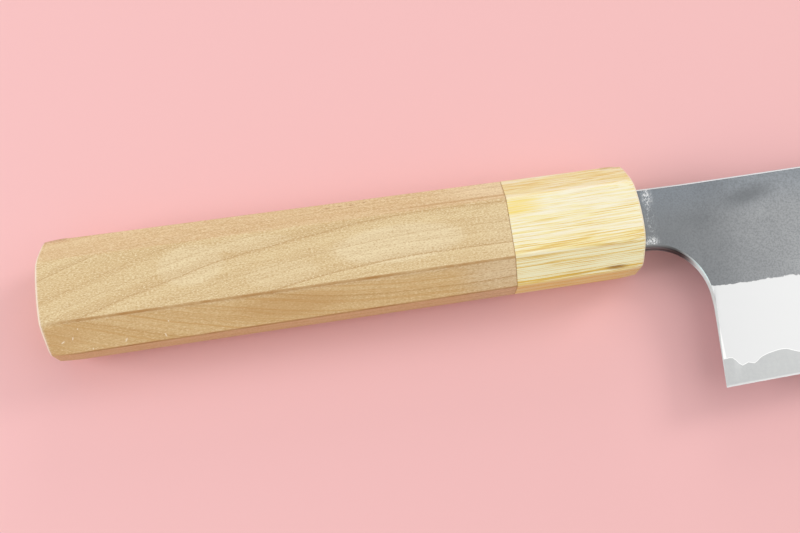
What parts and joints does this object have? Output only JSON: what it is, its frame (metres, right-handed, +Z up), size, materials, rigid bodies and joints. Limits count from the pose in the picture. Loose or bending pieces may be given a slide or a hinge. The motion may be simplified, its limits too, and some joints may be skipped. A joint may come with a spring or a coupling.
{
  "type": "santoku knife",
  "caption": "Santoku kitchen knife: laminated steel blade with a wide polished bevel and a dropped tip, on an octagonal wooden handle with a pale wooden ferrule.",
  "frame": {"origin": "under the middle of the knife's outline, on the surface it lies on", "axes": "+X from the butt to the tip, +Y from the edge to the spine, +Z up through the thickness, out of the right face"},
  "size_m": [0.307, 0.0518, 0.0193],
  "materials": {
    "core_steel": "hazy, stone polished",
    "cladding_steel": "matt forged flat, polished wide bevel",
    "grip_wood": "satin, fine long grain",
    "ferrule_wood": "satin, straight streaky grain",
    "dowel_wood": "raw",
    "resin": "hard, amber"
  },
  "bodies": {
    "root": {"blade_core": "core_steel", "cladding_right": "cladding_steel", "cladding_left": "cladding_steel", "grip": "grip_wood", "ferrule": "ferrule_wood", "handle_dowel": "dowel_wood", "tang_resin": "resin"}
  },
  "joints": []
}
